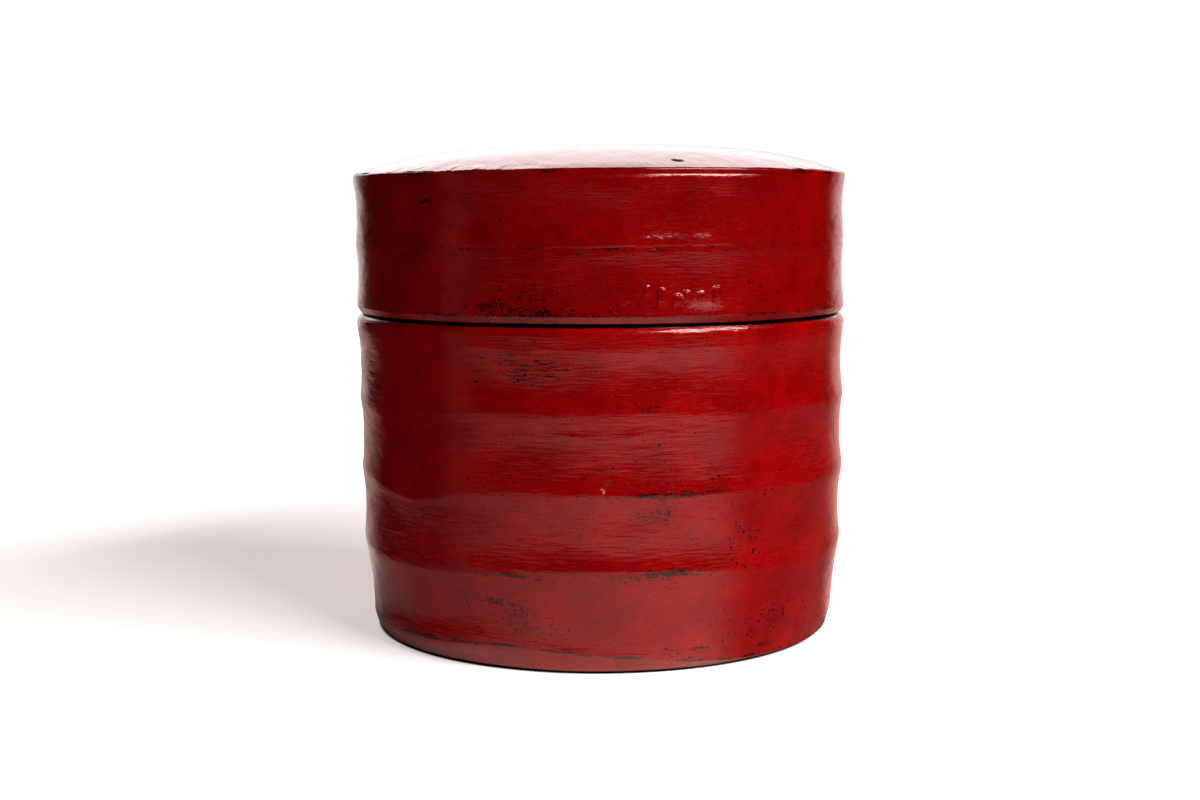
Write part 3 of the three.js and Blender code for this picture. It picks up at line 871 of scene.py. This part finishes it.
# Rows of the top stand closer near the edge.
top_radius = arris_radius * np.interp(np.linspace(0, 1, TOP_ROWS), [0, 0.45, 1], [1, 0.855, 0])
turn = np.linspace(0, ARRIS, 10)[1:]
edge_rise = np.linspace(0, 1, EDGE_ROWS)
edge_radius, edge_levels = skin(
    crown_radius - CROWN_IN - CROWN_ROUND * (1 - np.cos(np.concatenate([np.zeros(EDGE_ROWS), turn]))),
    np.concatenate([
        crown_low + (CROWN_EDGE - CROWN_ROUND_HEIGHT) * edge_rise,
        edge_level - CROWN_ROUND_HEIGHT * (1 - np.sin(turn) / math.sin(ARRIS))]),
    crown_wave, crown_wave, LID_SEED)
worn_edge = 0.2 + 0.8 * sum(stretch(*part) for part in NICKED)
nicks = NICK_DEPTH * worn_edge * waves(azimuth, flat, 260, 1, 77, 120)
edge_levels[EDGE_ROWS:] += np.sin(turn)[:, None] * nicks
edge_radius -= step_in * np.linspace(1, 0.4, len(edge_radius))[:, None]
x, y = np.sin(azimuth) * top_radius[:, None], -np.cos(azimuth) * top_radius[:, None]
inward = (crown_radius - top_radius)[:, None]
coarse = 0.6 + (0.5 + worn_edge) * (1 - ramp(inward, 4, 14))
wrinkled = 0.3 + np.tanh(waves(x / 100, y, 24, 22, 85)) ** 2
wrinkles = WRINKLES * waves(x / 100, y, 70, 9, 81, 120)
wrinkles += FINE_WRINKLES * waves(x / 100, y, 170, 4, 83, 160)
strokes = coarse * wrinkled * wrinkles + SWELLS * waves(x / 100, y, 12, 18, 82)
blister_x = BLISTER_OUT * math.sin(BLISTER_AT)
blister_y = -BLISTER_OUT * math.cos(BLISTER_AT)
blister = np.hypot(x - blister_x, (y - blister_y) * 1.3) / BLISTER_RADIUS
strokes = strokes + BLISTER_HEIGHT * np.exp(-blister ** 6) + nicks * (1 - ramp(inward, 3, 6))
fade = ramp(inward, 1.5, 70)
top_level = edge_level + dome(top_radius)[:, None] + crown_wave * (1 - fade) - CROWN_DOWN + strokes
rows = [ring(r, edge_level - CROWN_THICKNESS + dome(r)) for r in under_radius]
rows += [ring(under_radius[-1], crown_low - SPIGOT_DEPTH), ring(spigot, crown_low - SPIGOT_DEPTH)]
rows += [ring(spigot, crown_low, crown_wave)]
inner_rows = len(rows)
rows += list(zip(edge_radius, edge_levels))
rows += [(np.full(COLUMNS, r), z) for r, z in zip(top_radius, top_level)]
rows[-1] = ring(0, float(top_level[-1].mean()))
bare_and_shade = np.zeros((len(rows), COLUMNS))
bare_and_shade[:inner_rows] = BLACKENED
worn_rows = slice(inner_rows, inner_rows + WORN_ROWS)
level = np.array([z for r, z in rows[worn_rows]])
edge_gate = (0.08 + 0.5 * random_gate(75, 40, 0.15)) * (1 - 0.9 * stretch(*UNCHIPPED))
bare_and_shade[worn_rows] = wear_line(level, edge_level - 0.8 + crown_wave, 0.9, edge_gate)
# A dark ring round the blister: painted shade.
bare_and_shade[-len(top_radius):] += 0.7 * np.exp(-((blister - 1) / 0.22) ** 2)
marks = {"bare_and_shade": bare_and_shade, "pitted": np.full_like(bare_and_shade, CROWN_PITS)}
corners = list(range(inner_rows - 4, inner_rows + 1))
crown_dome = revolved("crown_dome", rows, corners, marks, shaded_crown_lacquer)
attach(crown_dome, "lid")
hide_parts("lid_crown")

# Paper
# A sheet of white paper that the box stands on and that takes its shadow. A little light of its own makes
# it as white as the background for the camera; towards the far left that light grows, as painted light that
# fades the far end of the shadow. In gloss it shows a graded glow instead: ahead of the box, behind it on
# the left and beside it on the right. A grade is (start, end, value at start, value at end).

PAPER_X = (-0.7, 0.7)
PAPER_Y = (-0.9, 1.3)
PAPER_LEVEL = -0.0002
PAPER_COLUMNS = 9
PAPER_ROWS = 13
PAPER_WHITE = "#f0edeb"
PAPER_TINT = "#fff6f3"
WHITE_BY_DEPTH = (0.25, 0.6, 0.585, 1.1)
# The glow that grows towards the far left is painted light over the far end of the box's shadow.
PAINTED_LIGHT_BY_SIDE = (-0.2, -0.5, 0.0, 1.0)
WHITE_BY_CONTACT = (0.0912, 0.0928, 0.0, 1.0)
AHEAD_WHITE = "#fff0ec"
AHEAD_HUBS = (0.057, -0.058)
AHEAD_LEFT = (math.radians(-62), math.radians(10), 0.0, 1.0)
AHEAD_RIGHT = (math.radians(48), math.radians(74), 1.0, 0.085)
AHEAD_NEAR = (0.29, 0.15, 0.0, 0.22)
AHEAD_SHADED = (0.15, 0.1, 0.0, 1.0)
AHEAD_SHADED_SIDE = (-0.03, -0.085, 0.0, 0.8)
AHEAD_FOOT = (0.125, 0.1, 1.0, 1.6)
AHEAD_FAR = (-0.62, -0.26, 0.0, 1.3)
AHEAD_CONTACT = (0.0925, 0.0940, 0.0, 1.0)
BEHIND_WHITE = "#ffd2c9"
BEHIND_HALF = (-0.02, 0.02, 1.0, 0.0)
BEHIND_TURN = 0.2
BEHIND_EDGE = 0.09
BEHIND_NEAREST = 0.02
BEHIND_SPREAD = (1.5, 0.2, 0.0, 0.68)
BEHIND_DEPTH = (-0.03, 0.12, 0.0, 1.0)
RIGHT_WHITE = "#ffc2b6"
RIGHT_HALF = (-0.02, 0.02, 0.0, 1.0)
RIGHT_EDGE = 0.0965
RIGHT_FROM = -0.02
RIGHT_NEAREST = 0.005
RIGHT_SPREAD = (1.05, 0.25, 0.0, 1.0)
RIGHT_DEPTH = (RIGHT_FROM, RIGHT_FROM + 0.03, 0.0, 1.0)
SMOOTH = {"interpolation_type": "SMOOTHSTEP"}


def falling(tree, glow, *grades):
    """The glow times a smooth fall for each value and its grade."""
    for value, grade in grades:
        fall = node(tree, "MapRange", (value, *grade), **SMOOTH)
        glow = node(tree, "Math", (glow, fall), operation="MULTIPLY")
    return glow


across, back = np.meshgrid(np.linspace(*PAPER_X, PAPER_COLUMNS), np.linspace(*PAPER_Y, PAPER_ROWS))
paper_place = np.stack([across, back, np.full_like(across, PAPER_LEVEL)], axis=-1).reshape(-1, 3)
i, j = np.mgrid[0:PAPER_ROWS - 1, 0:PAPER_COLUMNS - 1]
first = i * PAPER_COLUMNS + j
paper_faces = np.stack([first, first + 1, first + PAPER_COLUMNS + 1, first + PAPER_COLUMNS], axis=-1)
paper_mesh = bpy.data.meshes.new("paper")
paper_mesh.from_pydata(paper_place.tolist(), [], paper_faces.reshape(-1, 4).tolist())
paper = bpy.data.objects.new("paper", paper_mesh)
bpy.context.scene.collection.objects.link(paper)
paper_material = bpy.data.materials.new("white_paper")
tree = blank(paper_material)
spot = node(tree, "TexCoord", out="Object")
side, depth = (node(tree, "SeparateXYZ", (spot,), axis) for axis in "XY")
away = node(tree, "VectorMath", (spot,), "Value", operation="LENGTH")

# Ahead of the box the glow falls off to both sides, seen from a hub for each, and with the distance.
hubs = [node(tree, "Math", (hub, depth), operation="SUBTRACT") for hub in AHEAD_HUBS]
to_left, to_right = (node(tree, "Math", (side, hub), operation="ARCTAN2") for hub in hubs)
ahead_glow = node(tree, "MapRange", (to_left, *AHEAD_LEFT))
near = node(tree, "MapRange", (away, *AHEAD_NEAR), **SMOOTH)
ahead_glow = node(tree, "Math", (ahead_glow, near), operation="MAXIMUM")
shaded = falling(tree, 1.0, (away, AHEAD_SHADED), (side, AHEAD_SHADED_SIDE))
unshaded = node(tree, "Math", (1.0, shaded), operation="SUBTRACT")
ahead_glow = node(tree, "Math", (ahead_glow, unshaded), operation="MULTIPLY")
ahead_glow = falling(
    tree, ahead_glow, (away, AHEAD_FOOT), (to_right, AHEAD_RIGHT), (depth, AHEAD_FAR),
    (away, AHEAD_CONTACT))

# Behind on the left, and beside on the right, it falls off with the slope of the way out from the box.
aslant = node(tree, "Math", (depth, BEHIND_TURN, side), operation="MULTIPLY_ADD")
outward = node(tree, "Math", (aslant,), operation="ABSOLUTE")
outward = node(tree, "Math", (outward, BEHIND_EDGE), operation="SUBTRACT")
past = node(tree, "Math", (depth, BEHIND_NEAREST), operation="MAXIMUM")
steep = node(tree, "Math", (outward, past), operation="DIVIDE")
behind_glow = falling(tree, 1.0, (steep, BEHIND_SPREAD), (depth, BEHIND_DEPTH), (side, BEHIND_HALF))
outward = node(tree, "Math", (side, RIGHT_EDGE), operation="SUBTRACT")
past = node(tree, "Math", (depth, RIGHT_FROM), operation="SUBTRACT")
past = node(tree, "Math", (past, RIGHT_NEAREST), operation="MAXIMUM")
steep = node(tree, "Math", (outward, past), operation="DIVIDE")
right_glow = falling(tree, 1.0, (steep, RIGHT_SPREAD), (side, RIGHT_HALF), (depth, RIGHT_DEPTH))

white_glow = node(tree, "MapRange", (depth, *WHITE_BY_DEPTH), **SMOOTH)
# Towards the far left the glow rises: painted light that fades the far end of the box's shadow.
painted_light_on_left = node(tree, "MapRange", (side, *PAINTED_LIGHT_BY_SIDE), **SMOOTH)
white_glow = node(tree, "Math", (white_glow, painted_light_on_left), operation="MAXIMUM")
camera_ray = node(tree, "LightPath", out="Is Camera Ray")
white_glow = node(tree, "Math", (white_glow, camera_ray), operation="MULTIPLY")
white_glow = falling(tree, white_glow, (away, WHITE_BY_CONTACT))
matte = node(tree, "BsdfDiffuse", {"Color": linear(PAPER_WHITE)})
lit = node(tree, "Emission", {"Color": linear(PAPER_TINT), "Strength": white_glow})
seen = node(tree, "AddShader", (matte, lit))
sheen = node(tree, "Emission", {"Color": linear(AHEAD_WHITE), "Strength": ahead_glow})
for white, glow in ((BEHIND_WHITE, behind_glow), (RIGHT_WHITE, right_glow)):
    added = node(tree, "Emission", {"Color": linear(white), "Strength": glow})
    sheen = node(tree, "AddShader", (sheen, added))
glossy = node(tree, "LightPath", out="Is Glossy Ray")
clear = node(tree, "LightPath", out="Is Transmission Ray")
mirrored = node(tree, "Math", (glossy, clear), operation="MAXIMUM")
surface = node(tree, "MixShader", (mirrored, seen, sheen))
node(tree, "OutputMaterial", {"Surface": surface}, None)
paper_mesh.materials.append(paper_material)

# Light
# A dark studio with a white backdrop behind the box and a large soft key light high on the camera's right.
# Two soft lights behind the box, one above the other, show in gloss alone and draw the sheen on the crown.
# The backdrop's graded glow and a dim window on the left show in the gloss as well.

KEY_AZIMUTH = 53
KEY_HEIGHT = 41
KEY_DISTANCE = 3.0
KEY_SIZE = (2.2, 0.6)
KEY_POWER = 108
BACK_AZIMUTH = 187
BACK_DISTANCE = 2.4
BACK_HEIGHT = 25
BACK_SIZE = (3.2, 0.95)
BACK_POWER = 14.5
TOP_HEIGHT = 48
TOP_SIZE = (3.2, 1.05)
TOP_POWER = 28
AIM = (0, 0, 0.1)
WHITE = "#ffffff"
WARM_WHITE = "#ffdcd6"
BACKDROP_TURN = math.radians(2)
BACKDROP_WARM = (math.radians(12), math.radians(26))
BACKDROP_SPREAD = (math.radians(42), math.radians(30), 0.0, 0.9)
BACKDROP_TOP = (0.75, 0.55, 0.0, 1.0)
BACKDROP_FOOT = (0.3, 0.1, 1.0, 1.45)
BACKDROP_LEFT = (-0.45, -0.25, 0.82, 1.0)
BACKDROP_RIGHT = (-0.02, 0.14, 1.0, 0.79)
WINDOW_TURN = math.radians(-69.5)
WINDOW_SIDES = (math.radians(9.5), math.radians(3.8), 0.0, 0.16)
WINDOW_TOP = (0.45, 0.25, 0.0, 1.0)
ROOM = 0.008


def soft_light(name, azimuth_degrees, height_degrees, distance, size, power):
    """A soft light of that width and height, turned to the box, at an azimuth a right of the front and a
    height h above the floor: AIM + distance * (cos h sin a, -cos h cos a, sin h)."""
    a, h = math.radians(azimuth_degrees), math.radians(height_degrees)
    lamp = bpy.data.lights.new(name, "AREA")
    lamp.shape = "RECTANGLE"
    lamp.size, lamp.size_y = size
    lamp.energy = power
    holder = bpy.data.objects.new(name, lamp)
    holder.location = (
        AIM[0] + distance * math.cos(h) * math.sin(a), AIM[1] - distance * math.cos(h) * math.cos(a),
        AIM[2] + distance * math.sin(h))
    holder.rotation_euler = (math.pi / 2 - h, 0, a)
    bpy.context.scene.collection.objects.link(holder)
    holder.visible_camera = False
    return holder


soft_light("key_light", KEY_AZIMUTH, KEY_HEIGHT, KEY_DISTANCE, KEY_SIZE, KEY_POWER)
back_light = soft_light("back_light", BACK_AZIMUTH, BACK_HEIGHT, BACK_DISTANCE, BACK_SIZE, BACK_POWER)
back_light.visible_diffuse = False
top_light = soft_light("top_light", BACK_AZIMUTH, TOP_HEIGHT, BACK_DISTANCE, TOP_SIZE, TOP_POWER)
top_light.visible_diffuse = False
world = bpy.data.worlds.new("studio")
bpy.context.scene.world = world
tree = blank(world)
way = node(tree, "TexCoord", out="Generated")
rightward, backward, upward = (node(tree, "SeparateXYZ", (way,), axis) for axis in "XYZ")
from_back = node(tree, "Math", (rightward, backward), operation="ARCTAN2")
from_back = node(tree, "Math", (from_back, BACKDROP_TURN), operation="SUBTRACT")
from_back = node(tree, "Math", (from_back,), operation="ABSOLUTE")
glow = falling(
    tree, 1.0, (from_back, BACKDROP_SPREAD), (upward, BACKDROP_TOP), (upward, BACKDROP_FOOT),
    (rightward, BACKDROP_LEFT), (rightward, BACKDROP_RIGHT))
forward = node(tree, "Math", (backward, -1.0), operation="MULTIPLY")
turned = node(tree, "Math", (rightward, forward), operation="ARCTAN2")
from_window = node(tree, "Math", (turned, WINDOW_TURN), operation="SUBTRACT")
from_window = node(tree, "Math", (from_window,), operation="ABSOLUTE")
window = falling(tree, 1.0, (from_window, WINDOW_SIDES), (upward, WINDOW_TOP))
for light in (window, ROOM):
    glow = node(tree, "Math", (glow, light), operation="ADD")
camera_ray = node(tree, "LightPath", out="Is Camera Ray")
strength = node(tree, "Math", (glow, camera_ray), operation="MAXIMUM")
warm = node(tree, "MapRange", (from_back, *BACKDROP_WARM), **SMOOTH)
colour = node(tree, "Mix", {0: warm, 6: linear(WHITE), 7: linear(WARM_WHITE)}, 2, data_type="RGBA")
colour = node(tree, "Mix", {0: camera_ray, 6: colour, 7: linear(WHITE)}, 2, data_type="RGBA")
ground = node(tree, "Background", {"Color": colour, "Strength": strength})
node(tree, "OutputWorld", {"Surface": ground}, None)
bpy.context.scene.view_settings.view_transform = "Standard"

# Camera
# A lens of about 50 mm on a 36 mm wide frame, held above the lid's seam and looking down a little. Its
# place was fitted to the seam, the foot and the top edge of the photograph.

LENS = 50.3
FRAME_WIDTH = 36.0
EYE = (0.00045, -0.6927, 0.1682)
LOOK_DOWN = 6.385
ROLL = -0.14

camera = bpy.data.cameras.new("camera")
camera.lens = LENS
camera.sensor_width = FRAME_WIDTH
holder = bpy.data.objects.new("camera", camera)
holder.location = EYE
holder.rotation_euler = (math.radians(90 - LOOK_DOWN), math.radians(-ROLL), 0)
bpy.context.scene.collection.objects.link(holder)
bpy.context.scene.camera = holder
